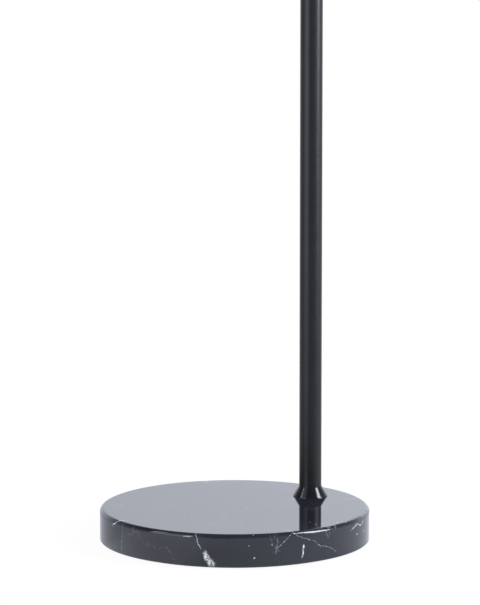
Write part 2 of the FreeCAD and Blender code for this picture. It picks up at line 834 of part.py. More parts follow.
# --------------------------------------------------------------------------------------------------
# Friction pivot
# --------------------------------------------------------------------------------------------------
def make_pivot_shaft():
    """Spigot in the end of the bent pole, with the washers and nut that give the pivot its friction."""
    axis = {"z": "tilt_height", "turn": FRONTWARD}
    flange = "insert_length + flange_thickness"
    end = "spigot_back - journal_end"
    turned(
        "pivot_spigot",
        [
            ("journal_bore_radius", "0"),
            ("insert_radius", "0"),
            ("insert_radius", "insert_length"),
            ("pole_radius", "insert_length"),
            ("pole_radius", flange),
            ("journal_radius", flange),
            ("journal_radius", end),
            ("journal_bore_radius", end),
        ],
        y="spigot_back",
        **axis,
    )
    bore = "journal_radius + journal_gap"
    inner_wall = "hub_rear - hub_wall"
    sleeve("pivot_thrust_washer", bore, "pole_radius", "thrust_washer - 2 * face_gap",
           y="spigot_face - face_gap", **axis)
    sleeve("pivot_wave_washer", bore, "pivot_washer_radius", "wave_washer", y=inner_wall, **axis)
    sleeve("pivot_flat_washer", bore, "pivot_washer_radius", "flat_washer",
           y=f"{inner_wall} - wave_washer", **axis)
    hexagon_nut("pivot_lock_nut", "pivot_nut_flats", bore, "pivot_nut_height",
                y=f"{inner_wall} - washer_stack", **axis)


def make_hub():
    """Hollow drum that turns on the spigot's journal, with the boss that carries the bowl."""
    body = new_body("tilt_hub", y="hub_rear", z="tilt_height", turn=FRONTWARD)
    length = "hub_rear + hub_front"
    drum = new_sketch(body, "xz")
    draw_outline(drum, [("0", "0"), ("hub_radius", "0"), ("hub_radius", length), ("0", length)])
    solid = revolve(body, drum)
    soften(body, solid, [("hub_radius", "0")], "hub_round")
    boss = new_sketch(body, "xz")
    draw_circle(boss, "boss_radius", y="hub_rear")
    extrude(body, boss, "boss_height", reverse=True)
    inside = new_sketch(body, "xz")
    draw_outline(
        inside,
        [
            ("0", "-1"),
            ("journal_radius + journal_gap", "-1"),
            ("journal_radius + journal_gap", "hub_wall"),
            ("hub_inner", "hub_wall"),
            ("hub_inner", f"{length} + 1"),
            ("0", f"{length} + 1"),
        ],
    )
    revolve(body, inside, "PartDesign::Groove")
    bore = new_sketch(body, "xz")
    draw_circle(bore, "female_thread", y="hub_rear")
    pocket(body, bore, "boss_height + 1", reverse=False)
    cap = turned(
        "hub_cap",
        [
            ("0", "-(cap_spigot)"),
            ("hub_inner - slip_gap", "-(cap_spigot)"),
            ("hub_inner - slip_gap", "0"),
            ("hub_radius", "0"),
            ("hub_radius", "cap_thickness"),
            ("0", "cap_thickness"),
        ],
        y="-(hub_front)",
        z="tilt_height",
        turn=FRONTWARD,
    )
    soften(cap, cap.Tip, [("hub_radius", "cap_thickness")], "cap_round")


# --------------------------------------------------------------------------------------------------
# Bowl and what holds it
# --------------------------------------------------------------------------------------------------
def make_bowl():
    """Spun bowl: flat seat with the holder's hole, a spherical flare and a rolled bead at the rim."""
    body = new_body("bowl", z="bowl_z")
    sketch = new_sketch(body, "xz")
    v = FreeCAD.Vector
    centre = v(0, size("bowl_centre"), 0)
    outer, inner = size("bowl_sphere"), size("bowl_sphere - bowl_wall")
    hole, flat = size("holder_radius + bowl_hole_gap"), size("bowl_flat_radius")
    wall, rim, depth = size("bowl_wall"), size("bowl_rim_radius"), size("bowl_depth")
    below, above = wall - centre.y, depth - centre.y
    inner_flat = math.sqrt(inner**2 - below**2)
    inner_rim = math.sqrt(inner**2 - above**2)

    def arc(radius, start, end):
        low = math.atan2(start.y - centre.y, start.x)
        high = math.atan2(end.y - centre.y, end.x)
        return Part.ArcOfCircle(Part.Circle(centre, v(0, 0, 1), radius), low, high)

    sketch.addGeometry(Part.LineSegment(v(hole, 0, 0), v(flat, 0, 0)))
    sketch.addGeometry(arc(outer, v(flat, 0, 0), v(rim, depth, 0)))
    sketch.addGeometry(Part.LineSegment(v(rim, depth, 0), v(inner_rim, depth, 0)))
    sketch.addGeometry(arc(inner, v(inner_flat, wall, 0), v(inner_rim, depth, 0)))
    sketch.addGeometry(Part.LineSegment(v(inner_flat, wall, 0), v(hole, wall, 0)))
    sketch.addGeometry(Part.LineSegment(v(hole, wall, 0), v(hole, 0, 0)))
    joints = ((0, 2, 1, 1), (1, 2, 2, 1), (2, 2, 3, 2), (3, 1, 4, 1), (4, 2, 5, 1), (5, 2, 0, 1))
    for a, a_end, b, b_end in joints:
        sketch.addConstraint(Sketcher.Constraint("Coincident", a, a_end, b, b_end))
    sketch.addConstraint(Sketcher.Constraint("Coincident", 1, 3, 3, 3))
    for line in (2, 4):
        sketch.addConstraint(Sketcher.Constraint("Horizontal", line))
    sketch.addConstraint(Sketcher.Constraint("Vertical", 5))
    pin_point(sketch, 0, 1, "holder_radius + bowl_hole_gap", "0")
    pin_point(sketch, 0, 2, "bowl_flat_radius", "0")
    pin_point(sketch, 1, 2, "bowl_rim_radius", "bowl_depth")
    sketch.addConstraint(Sketcher.Constraint("PointOnObject", 1, 3, -2))
    number = sketch.addConstraint(Sketcher.Constraint("Radius", 3, inner))
    tie(sketch, f"Constraints[{number}]", "bowl_sphere - bowl_wall")
    number = sketch.addConstraint(Sketcher.Constraint("DistanceY", -1, 1, 4, 1, wall))
    tie(sketch, f"Constraints[{number}]", "bowl_wall")
    revolve(body, sketch)
    bead = new_sketch(body, "xz")
    draw_circle(bead, "bead_radius", x="bowl_rim_radius - bowl_wall + bead_radius", y="bowl_depth")
    revolve(body, bead)


def make_fitter():
    """Conical cup between the pivot's boss and the bowl, and the ring that clamps the bowl to it."""
    slope = "(cup_top_radius - boss_radius) / cup_height"
    floor_radius = f"boss_radius + {slope} * cup_floor - cup_wall"
    turned(
        "fitter_cup",
        [
            ("female_thread", "0"),
            ("boss_radius", "0"),
            ("cup_top_radius", "cup_height"),
            ("cup_top_radius - cup_wall", "cup_height"),
            (floor_radius, "cup_floor"),
            ("female_thread", "cup_floor"),
        ],
        z="cup_z",
    )
    sleeve("head_stud", "thread_bore_radius", "male_thread",
           "boss_height - hub_inner + thread_tail + cup_floor + holder_wall",
           z="tilt_height + hub_inner - thread_tail")
    inner = "holder_radius + slip_gap"
    ring = turned(
        "bowl_ring",
        [
            (inner, "0"),
            ("ring_radius", "0"),
            ("ring_radius", "ring_flange"),
            (f"{inner} + ring_wall", "ring_flange"),
            (f"{inner} + ring_wall", "ring_height"),
            (inner, "ring_height"),
        ],
        z="bowl_z + bowl_wall",
    )
    notch = new_sketch(ring, "xy")
    draw_circle(notch, "notch_radius", x="ring_radius")
    cut = pocket(ring, notch, "ring_flange", reverse=True)
    pattern_round(ring, cut, "ring_notches")


def make_holder():
    """E27 lampholder: conical base, shell, ceramic core, threaded sleeve, contact and screws."""
    at = {"z": "holder_z"}
    turned(
        "holder_base",
        [
            ("female_thread", "0"),
            ("holder_neck_radius", "0"),
            ("holder_radius", "holder_cone"),
            ("holder_radius - holder_wall", "holder_cone"),
            ("holder_neck_radius - holder_wall / 2", "holder_wall"),
            ("female_thread", "holder_wall"),
        ],
        **at,
    )
    shell = turned(
        "holder_shell",
        [
            ("holder_radius - holder_wall", "holder_cone"),
            ("holder_radius", "holder_cone"),
            ("holder_radius", "holder_top"),
            ("sleeve_radius + slip_gap", "holder_top"),
            ("sleeve_radius + slip_gap", "holder_top - holder_lip"),
            ("holder_radius - holder_wall", "holder_top - holder_lip"),
        ],
        **at,
    )
    soften(shell, shell.Tip, [("holder_radius", "holder_top")], "holder_lip / 2")
    disc("holder_core", "holder_radius - holder_wall - slip_gap", "core_thickness - 1", z="holder_z + holder_cone")
    sleeve("holder_sleeve", "sleeve_radius - sleeve_wall", "sleeve_radius", "sleeve_length",
           z="holder_z + sleeve_z")
    disc("holder_contact", "contact_radius", "contact_height", z="holder_z + sleeve_z")
    make_holder_screws()


def make_holder_screws():
    """The two terminal screws under the ceramic core, in one node."""
    pair = []
    for side in ("-(terminal_screw_spread / 2)", "terminal_screw_spread / 2"):
        screw = doc.addObject("Part::Cylinder", "terminal_screw")
        tie(screw, "Radius", "terminal_screw_radius")
        tie(screw, "Height", "terminal_screw_length")
        tie(screw, "Placement.Base.y", side)
        tie(screw, "Placement.Base.z", "holder_z + holder_cone - terminal_screw_length")
        pair.append(screw)
    group = doc.addObject("Part::Compound", "holder_terminal_screws")
    group.Label = "holder_terminal_screws"
    group.Links = pair


# --------------------------------------------------------------------------------------------------
# Bulb
# --------------------------------------------------------------------------------------------------
def make_bulb():
    """LED bulb: contact pip, screw cap, white body, LED plate with its LEDs, and opal dome."""
    cap_inner = "bulb_cap_radius - bulb_cap_wall"
    disc("bulb_pip", "bulb_pip_radius", "bulb_pip_height", z="holder_z + bulb_pip_z")
    turned(
        "bulb_cap",
        [
            ("0", "0"),
            ("bulb_pip_radius + 2", "0"),
            ("bulb_cap_radius", "4"),
            ("bulb_cap_radius", "bulb_cap_length"),
            (cap_inner, "bulb_cap_length"),
            (cap_inner, "4"),
            ("bulb_pip_radius + 1.6", "bulb_cap_wall"),
            ("0", "bulb_cap_wall"),
        ],
        z="holder_z + bulb_cap_z",
    )
    wide, narrow = "bulb_radius - 1", "bulb_shank_radius"
    turned(
        "bulb_body",
        [
            (f"{cap_inner} - slip_gap - bulb_wall", "-4"),
            (f"{cap_inner} - slip_gap", "-4"),
            (f"{cap_inner} - slip_gap", "0"),
            (narrow, "0"),
            (narrow, "bulb_skirt"),
            (wide, "bulb_body_length"),
            (f"{wide} - bulb_wall", "bulb_body_length"),
            (f"{narrow} - bulb_wall", "bulb_skirt"),
            (f"{cap_inner} - slip_gap - bulb_wall", "bulb_skirt"),
        ],
        z="holder_z + bulb_body_z",
    )
    slope = f"({wide} - ({narrow})) / (bulb_body_length - bulb_skirt)"
    make_led_plate(f"{wide} - bulb_wall - (led_plate_thickness + led_height) * {slope} - slip_gap")
    dome = doc.addObject("Part::Sphere", "bulb_dome_outside")
    tie(dome, "Radius", "bulb_radius")
    dome.Angle1 = 0
    hollow = doc.addObject("Part::Sphere", "bulb_dome_inside")
    tie(hollow, "Radius", "bulb_radius - bulb_wall")
    hollow.Angle1 = 0
    shell = doc.addObject("Part::Cut", "bulb_dome")
    shell.Label = "bulb_dome"
    shell.Base = dome
    shell.Tool = hollow
    tie(shell, "Placement.Base.z", "holder_z + bulb_globe_z")


def make_led_plate(radius):
    """Round LED board held in the top of the bulb's body, with a ring of LEDs soldered to it."""
    plate = disc("bulb_led_plate", radius, "led_plate_thickness",
                 z="holder_z + bulb_globe_z - led_plate_thickness - led_height")
    chip = new_sketch(plate, "xy", "led_plate_thickness")
    draw_box(chip, "led_ring_radius - led_size / 2", "led_ring_radius + led_size / 2",
             "-(led_size / 2)", "led_size / 2")
    first = extrude(plate, chip, "led_height")
    pattern_round(plate, first, "led_count")


# --------------------------------------------------------------------------------------------------
# Leads that the lamp holds inside
# --------------------------------------------------------------------------------------------------
def lead(label, radius, route, bend_radius):
    """A round lead along three (y, z) points; its section sits at the height or depth of the first."""
    body = new_body(label)
    along_y = route[0][1] == route[1][1]
    beside = route[0][1] if along_y else route[0][0]
    run_along(body, route, bend_radius, lambda sketch: draw_circle(sketch, radius, y=beside))


def make_leads():
    lead(
        "supply_lead",
        "supply_lead_radius",
        [
            ("gland_front - lead_gap", "gland_axis_z"),
            ("pole_offset", "gland_axis_z"),
            ("pole_offset", "terminal_foot"),
        ],
        "lead_turn_radius",
    )
    lead(
        "lamp_lead",
        "lamp_lead_radius",
        [
            ("pole_offset", "terminal_head"),
            ("pole_offset", "tilt_height"),
            ("journal_end + lead_gap", "tilt_height"),
        ],
        "bend_radius",
    )
    lead(
        "holder_lead",
        "lamp_lead_radius",
        [
            ("journal_end - lead_gap", "tilt_height"),
            ("0", "tilt_height"),
            ("0", "holder_z + holder_cone - terminal_screw_length"),
        ],
        "holder_lead_turn",
    )


def export_parts():
    """Checks every object, then writes one STEP file for each sub-part."""
    doc.recompute()
    for item in doc.Objects:
        if "Invalid" in item.State or "Error" in item.State:
            raise RuntimeError(f"{item.Label} did not compute: {item.State}")
    inner = {i.Name for f in doc.Objects if f.TypeId in ("Part::Cut", "Part::Compound") for i in f.OutList}
    kinds = ("PartDesign::Body", "Part::Cut", "Part::Compound")
    pieces = [f for f in doc.Objects if f.TypeId in kinds and f.Name not in inner]
    for piece in pieces:
        if piece.Shape.isNull() or not piece.Shape.isValid() or piece.Shape.Volume <= 0:
            raise RuntimeError(f"{piece.Label} has no valid solid")
    os.makedirs("parts", exist_ok=True)
    for piece in pieces:
        piece.Shape.exportStep(os.path.join("parts", f"{piece.Label}.step"))
    print(f"{len(pieces)} sub-parts")


make_base()
make_pole()
make_dimmer()
make_pivot_shaft()
make_hub()
make_fitter()
make_bowl()
make_holder()
make_bulb()
make_leads()
export_parts()
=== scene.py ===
"""Looks for the torchiere floor lamp: camera, soft studio light, and a procedural finish for every slot.

Everything is in metres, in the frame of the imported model: +Z up, the floor at z = 0, the pole and the
cord entry at the rear, on the +Y side.
"""

import json
import math

import bpy
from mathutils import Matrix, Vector

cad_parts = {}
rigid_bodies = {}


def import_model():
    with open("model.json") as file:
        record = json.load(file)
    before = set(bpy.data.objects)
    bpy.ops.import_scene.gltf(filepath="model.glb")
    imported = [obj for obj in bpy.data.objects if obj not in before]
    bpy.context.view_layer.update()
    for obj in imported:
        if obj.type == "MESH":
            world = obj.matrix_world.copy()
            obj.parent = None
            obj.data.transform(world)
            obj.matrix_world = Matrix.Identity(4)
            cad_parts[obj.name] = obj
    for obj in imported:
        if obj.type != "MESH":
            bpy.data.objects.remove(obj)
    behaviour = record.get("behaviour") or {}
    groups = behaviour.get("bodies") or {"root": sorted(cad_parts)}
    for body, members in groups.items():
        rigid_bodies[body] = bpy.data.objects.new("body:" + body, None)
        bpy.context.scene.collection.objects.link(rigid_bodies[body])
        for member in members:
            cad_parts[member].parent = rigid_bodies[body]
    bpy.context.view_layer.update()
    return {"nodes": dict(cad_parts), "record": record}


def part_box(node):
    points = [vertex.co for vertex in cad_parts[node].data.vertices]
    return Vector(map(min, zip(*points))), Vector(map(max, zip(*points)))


MM = 0.001

# Where the camera stands and aims: its bearing to the right of the lamp's front, then metres. The lens and
# the sensor are in millimetres.
CAMERA_BEARING = math.radians(55.04)
CAMERA_DISTANCE = 4.405
CAMERA_HEIGHT = 0.967
AIM_HEIGHT = 0.2678
AIM_RIGHT = 0.0060
CAMERA_LENS = 240.2
CAMERA_SENSOR = 36.0

for default in list(bpy.data.objects):
    bpy.data.objects.remove(default)
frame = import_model()

SLAB_LOW, SLAB_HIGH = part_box("marble_slab")
SLAB_RADIUS = SLAB_HIGH.x
SLAB_HEIGHT = SLAB_HIGH.z - SLAB_LOW.z

# Horizontal directions: towards the camera, and to the camera's right.
TO_CAMERA = Vector((math.sin(CAMERA_BEARING), -math.cos(CAMERA_BEARING), 0.0))
RIGHTWARD = Vector((math.cos(CAMERA_BEARING), math.sin(CAMERA_BEARING), 0.0))


def bearing(degrees):
    """Horizontal direction that many degrees to the right of the camera, seen from the lamp."""
    turn = math.radians(degrees)
    return TO_CAMERA * math.cos(turn) + RIGHTWARD * math.sin(turn)


# --------------------------------------------------------------------------------------------------
# Camera and studio
# --------------------------------------------------------------------------------------------------
def make_camera():
    data = bpy.data.cameras.new("camera")
    data.lens = CAMERA_LENS
    data.sensor_width = CAMERA_SENSOR
    data.clip_end = 100.0
    camera = bpy.data.objects.new("camera", data)
    bpy.context.scene.collection.objects.link(camera)
    aim = RIGHTWARD * AIM_RIGHT + Vector((0, 0, AIM_HEIGHT))
    camera.location = (RIGHTWARD * AIM_RIGHT + TO_CAMERA * CAMERA_DISTANCE
                       + Vector((0, 0, CAMERA_HEIGHT)))
    camera.rotation_euler = (aim - camera.location).to_track_quat("-Z", "Y").to_euler()
    bpy.context.scene.camera = camera


class Graph:
    """A node tree with short calls for adding nodes and joining them."""

    def __init__(self, tree):
        self.tree = tree
        tree.nodes.clear()

    def add(self, kind, *values, **settings):
        """Adds a node. values fill its inputs in order: a number, a tuple or an output."""
        made = self.tree.nodes.new(kind)
        for name, value in settings.items():
            setattr(made, name, value)
        for socket, value in zip(made.inputs, values):
            self.set(socket, value)
        return made

    def set(self, socket, value):
        if isinstance(value, bpy.types.NodeSocket):
            self.tree.links.new(value, socket)
        else:
            socket.default_value = value

    def named(self, node, **values):
        """Sets inputs by name, with _ for a space."""
        for name, value in values.items():
            self.set(node.inputs[name.replace("_", " ")], value)
        return node

    def math(self, operation, *values):
        return self.add("ShaderNodeMath", *values, operation=operation).outputs[0]

    def vector(self, operation, *values):
        made = self.add("ShaderNodeVectorMath", *values, operation=operation)
        return made.outputs["Value" if operation in ("DOT_PRODUCT", "LENGTH", "DISTANCE") else "Vector"]

    def ramp(self, value, low, high, to_low=0.0, to_high=1.0, smooth=True):
        """Value taken from low..high to to_low..to_high, and held at the ends."""
        made = self.add("ShaderNodeMapRange", interpolation_type="SMOOTHSTEP" if smooth else "LINEAR")
        self.named(made, Value=value, From_Min=low, From_Max=high, To_Min=to_low, To_Max=to_high)
        return made.outputs["Result"]

    def noise(self, where, scale, detail=2.0, roughness=0.5, distortion=0.0):
        made = self.add("ShaderNodeTexNoise")
        self.named(made, Vector=where, Scale=scale, Detail=detail, Roughness=roughness)
        self.named(made, Distortion=distortion)
        return made

    def mix(self, factor, dark, light):
        made = self.add("ShaderNodeMix", data_type="RGBA")
        self.set(made.inputs["Factor"], factor)
        self.set(made.inputs[6], dark)
        self.set(made.inputs[7], light)
        return made.outputs[2]

    def place(self):
        """The point on the piece, in metres in the lamp's frame."""
        return self.add("ShaderNodeTexCoord").outputs["Object"]


# How bright the surroundings are to a glossy surface that faces them: the low screen straight behind the
# lamp, where the slab's top looks; elsewhere; and above, as a share of those.
BEHIND, ELSEWHERE, ABOVE = 1.34, 0.55, 0.25
FLOOR_NEAR, FLOOR_FAR = 0.85, 0.58
GLOSS_TINT = (0.86, 0.90, 1.0, 1)
# Pools of light painted into the floor's glow, as reflections see it, where the softboxes would light it:
# degrees to the right of the camera, half spread, brightness.
PAINTED_FLOOR_POOLS = ((-50, 36, 0.45), (95, 48, 0.26))
# What lights the lamp evenly from all round.
SOFT_LIGHT, SOFT_TINT = 0.75, (0.96, 0.98, 1.0, 1)
LIGHT_TINT = (0.88, 0.93, 1.0)
# How much of the floor's own shading is kept beside the lamp, and how far the floor runs from it.
FLOOR_SHADOW = 0.05
FLOOR_REACH = 14.0
# The softboxes: degrees to the right of the camera, distance, lowest and highest edge, width, radiance.
SOFTBOXES = {
    "screen_left": (-56, 1.9, 0.02, 1.30, 1.20, 1.6),
    "screen_left_high": (-50, 1.9, 1.30, 2.40, 1.30, 0.9),
    "strip_left_low": (-39, 1.9, 0.05, 1.05, 0.20, 7.5),
    "strip_left_high": (-77, 1.9, 1.15, 2.30, 0.20, 7.0),
    "softbox_right": (76, 1.9, 0.38, 2.60, 0.74, 16.0),
}


def make_world():
    """White to the camera. To reflections it is a bright screen behind the lamp and dim elsewhere."""
    world = bpy.data.worlds.new("studio")
    bpy.context.scene.world = world
    world.use_nodes = True
    g = Graph(world.node_tree)
    way = g.add("ShaderNodeTexCoord").outputs["Generated"]
    ahead = g.vector("DOT_PRODUCT", way, tuple(TO_CAMERA))
    aside = g.vector("DOT_PRODUCT", way, tuple(RIGHTWARD))
    rise = g.add("ShaderNodeSeparateXYZ", way).outputs["Z"]
    level = g.ramp(ahead, -0.84, -0.45, BEHIND, ELSEWHERE)
    tone = g.math("MULTIPLY", level, g.ramp(rise, 0.28, 0.6, 1.0, ABOVE))
    tone = g.math("MULTIPLY", tone, g.ramp(aside, -0.10, 0.10, 0.90, 1.12))
    path = g.add("ShaderNodeLightPath")
    reflected = g.add("ShaderNodeBackground", GLOSS_TINT, tone).outputs[0]
    even = g.add("ShaderNodeBackground", SOFT_TINT, SOFT_LIGHT).outputs[0]
    white = g.add("ShaderNodeBackground", (1, 1, 1, 1), 1.0).outputs[0]
    lit = g.add("ShaderNodeMixShader", path.outputs["Is Glossy Ray"], even, reflected).outputs[0]
    shown = g.add("ShaderNodeMixShader", path.outputs["Is Camera Ray"], lit, white).outputs[0]
    g.add("ShaderNodeOutputWorld", shown)


def make_floor():
    """Pale floor: near the lamp it takes a soft shadow, further out it is as white as the background."""
    mesh = bpy.data.meshes.new("floor")
    corners = [(FLOOR_REACH * x, FLOOR_REACH * y, 0) for x, y in ((-1, -1), (1, -1), (1, 1), (-1, 1))]
    mesh.from_pydata(corners, [], [(0, 1, 2, 3)])
    floor = bpy.data.objects.new("floor", mesh)
    bpy.context.scene.collection.objects.link(floor)
    material = bpy.data.materials.new("pale_floor")
    material.use_nodes = True
    g = Graph(material.node_tree)
    where = g.place()
    off = g.vector("LENGTH", where)
    way = g.vector("NORMALIZE", where)
    ahead = g.vector("DOT_PRODUCT", way, tuple(TO_CAMERA))
    # Painted light: to reflections the floor glows, brighter straight behind the lamp and near it, with
    # painted pools of light where the softboxes would light it.
    far = g.ramp(ahead, -0.84, -0.45, BEHIND * 0.7, FLOOR_FAR)
    share = g.ramp(off, 0.25, 0.9)
    glow = g.math("ADD", g.math("MULTIPLY", far, share),
                  g.math("MULTIPLY", g.math("SUBTRACT", 1.0, share), FLOOR_NEAR))
    beyond = g.ramp(off, 0.35, 0.70, 0.85, 1.35)
    for degrees, spread, gain in PAINTED_FLOOR_POOLS:
        near = g.vector("DOT_PRODUCT", way, tuple(bearing(degrees)))
        painted_pool = g.ramp(near, math.cos(math.radians(spread)), 0.97, 0.0, gain)
        glow = g.math("ADD", glow, g.math("MULTIPLY", painted_pool, beyond))
    glossy = g.add("ShaderNodeLightPath").outputs["Is Glossy Ray"]
    paper = g.add("ShaderNodeBsdfDiffuse", (0.86, 0.86, 0.87, 1), 0.0).outputs[0]
    white = g.add("ShaderNodeEmission", (1, 1, 1, 1), 1.0).outputs[0]
    shaded = g.add("ShaderNodeMixShader", g.ramp(off, 0.3, 1.0, FLOOR_SHADOW, 0.0), white, paper).outputs[0]
    reflected = g.add("ShaderNodeEmission", GLOSS_TINT, glow).outputs[0]
    g.add("ShaderNodeOutputMaterial", g.add("ShaderNodeMixShader", glossy, shaded, reflected).outputs[0])
    mesh.materials.append(material)


def make_softbox(name, degrees, distance, low, high, width, radiance):
    """A softbox that faces the lamp from that bearing and runs from height low to height high."""
    data = bpy.data.lights.new(name, "AREA")
    data.shape = "RECTANGLE"
    data.size = width
    data.size_y = high - low
    data.energy = radiance * math.pi * width * (high - low)
    light = bpy.data.objects.new(name, data)
    bpy.context.scene.collection.objects.link(light)
    light.location = bearing(degrees) * distance + Vector((0, 0, (low + high) / 2))
    light.rotation_euler = (-bearing(degrees)).to_track_quat("-Z", "Y").to_euler()
    light.visible_camera = False
    data.color = LIGHT_TINT


def make_studio():
    make_world()
    make_floor()
    for name, values in SOFTBOXES.items():
        make_softbox(name, *values)


# --------------------------------------------------------------------------------------------------
# Finishes
# --------------------------------------------------------------------------------------------------
def finish(name, roughness, **sockets):
    """A new material, its graph and its Principled shader, with constants on the shader's own sockets."""
    material = bpy.data.materials.new(name)
    material.use_nodes = True
    g = Graph(material.node_tree)
    shader = g.add("ShaderNodeBsdfPrincipled")
    g.named(shader, Roughness=roughness, **sockets)
    g.add("ShaderNodeOutputMaterial", shader.outputs[0])
    return material, g, shader


def bump(g, shader, height, strength, distance):
    made = g.add("ShaderNodeBump")
    g.named(made, Strength=strength, Distance=distance, Height=height)
    g.set(shader.inputs["Normal"], made.outputs[0])


def vary(g, shader, where, scale, colour, low, high, roughness, swing):
    """Clouds the colour between low and high times itself, and the roughness by swing either way."""
    cloud = g.noise(where, scale, 4.0, 0.6).outputs[0]
    ends = [tuple(channel * share for channel in colour) + (1,) for share in (low, high)]
    g.set(shader.inputs["Base Color"], g.mix(g.ramp(cloud, 0.3, 0.7), *ends))
    fine = g.noise(where, scale * 5, 2.0).outputs[0]
    g.set(shader.inputs["Roughness"], g.ramp(fine, 0.3, 0.7, roughness - swing, roughness + swing))


# The slab's main veins, listed one by one. Each is a bent sheet through the stone: where it meets the rim,
# in degrees to the right of the lamp's front and as a share of the slab's height; its lean to the right
# from upright, in degrees; how far it runs and half its thickness, in millimetres; how white it is.
VEINS = (
    (45, 0.30, -35, 12, 3.4, 1.0),
    (40, 0.80, -20, 12, 0.5, 0.7),
    (85, 0.40, 10, 8, 0.8, 1.0),
    (90, 0.65, -65, 45, 0.35, 0.4),
    (75, 0.70, 50, 12, 0.4, 0.5),
    (120, 0.80, 80, 20, 0.8, 0.5),
    (-5, 0.90, 60, 14, 0.6, 0.8),
    (0, 0.50, 5, 25, 0.3, 0.3),
    (170, 0.55, -50, 40, 0.5, 0.6),
    (215, 0.40, 30, 18, 1.4, 0.9),
    (260, 0.70, -70, 45, 0.4, 0.5),
    (310, 0.45, 40, 22, 0.8, 0.7),
)


def vein(g, where, degrees, level, lean, reach, half_width, strength):
    """How white the point is with one of the veins, which thins out towards the end of its reach."""
    turn, slant = math.radians(degrees), math.radians(lean)
    outward = Vector((math.sin(turn), -math.cos(turn), 0.0))
    upward = Vector((0.0, 0.0, 1.0))
    run = upward * math.cos(slant) + upward.cross(outward) * math.sin(slant)
    middle = outward * SLAB_RADIUS + upward * (SLAB_LOW.z + level * SLAB_HEIGHT)
    offset = g.vector("SUBTRACT", where, tuple(middle))
    gap = g.math("ABSOLUTE", g.vector("DOT_PRODUCT", offset, tuple(run.cross(outward))))
    line = g.ramp(gap, half_width * 0.4 * MM, half_width * 1.5 * MM, strength, 0.0)
    fade = g.ramp(g.vector("LENGTH", offset), reach * 0.5 * MM, reach * MM, 1.0, 0.0)
    return g.math("MULTIPLY", line, fade)


def wander(g, where, scale, reach):
    """The point moved by noise, by up to about half of reach in metres."""
    drift = g.vector("SUBTRACT", g.noise(where, scale, 3.0, 0.6).outputs["Color"], (0.5, 0.5, 0.5))
    return g.vector("ADD", where, g.vector("MULTIPLY", drift, (reach, reach, reach)))


def marble():
    """Polished black marble: dark clouds, the main veins, specks, and a faint broken network of veins."""
    material, g, shader = finish("marble", 0.05, IOR=1.56)
    where = g.place()
    bent = wander(g, wander(g, where, 30.0, 0.016), 330.0, 0.0028)
    white = 0.0
    for values in VEINS:
        white = g.math("MAXIMUM", vein(g, bent, *values), white)
    crumble = g.ramp(g.noise(where, 330.0, 3.0, 0.7).outputs[0], 0.40, 0.54, 0.12, 1.0)
    white = g.math("MULTIPLY", white, crumble)

    speck = g.named(g.add("ShaderNodeTexVoronoi"), Vector=bent, Scale=75.0)
    kept = g.ramp(g.add("ShaderNodeSeparateColor", speck.outputs["Color"]).outputs["Red"], 0.45, 0.95)
    dot = g.ramp(speck.outputs["Distance"], 0.035, 0.085, 0.9, 0.0)
    white = g.math("MAXIMUM", white, g.math("MULTIPLY", dot, kept))

    ridge = g.noise(where, 9.0, 5.0, 0.55, 1.1).outputs[0]
    thread = g.ramp(g.math("ABSOLUTE", g.math("SUBTRACT", ridge, 0.5)), 0.0, 0.009, 1.0, 0.0)
    present = g.ramp(g.noise(where, 17.0, 2.0).outputs[0], 0.55, 0.72)
    broken = g.ramp(g.noise(where, 260.0, 2.0).outputs[0], 0.42, 0.62, 0.0, 0.22)
    faint = g.math("MULTIPLY", g.math("MULTIPLY", thread, present), broken)
    veins = g.math("MAXIMUM", white, faint)

    cloud = g.noise(where, 11.0, 6.0, 0.62, 0.5).outputs[0]
    stone = g.mix(g.ramp(cloud, 0.35, 0.75), (0.0075, 0.0085, 0.0130, 1), (0.016, 0.0175, 0.025, 1))
    g.set(shader.inputs["Base Color"], g.mix(veins, stone, (0.62, 0.64, 0.67, 1)))
    g.set(shader.inputs["Roughness"], g.ramp(veins, 0.0, 1.0, 0.045, 0.22))
    return material


def paint(name, colour, roughness, grain, depth, index=1.5):
    """Sprayed paint or powder coat of that refractive index, with the fine pebble of its surface."""
    material, g, shader = finish(name, roughness, IOR=index)
    where = g.place()
    vary(g, shader, where, 30.0, colour, 0.85, 1.15, roughness, 0.03)
    bump(g, shader, g.noise(where, grain, 2.0, 0.5).outputs[0], 0.35, depth)
    return material


# The bowl: radius of its flat bottom, radius of the bead on its rim, how far the sheet's edge is inside the
# bead's outside, and how far below the top the enamel stops, so that the bead stays black.
BOWL_FLAT, BOWL_BEAD, BOWL_INSET, ENAMEL_STOP = 34 * MM, 2.2 * MM, 3.4 * MM, 4.2 * MM


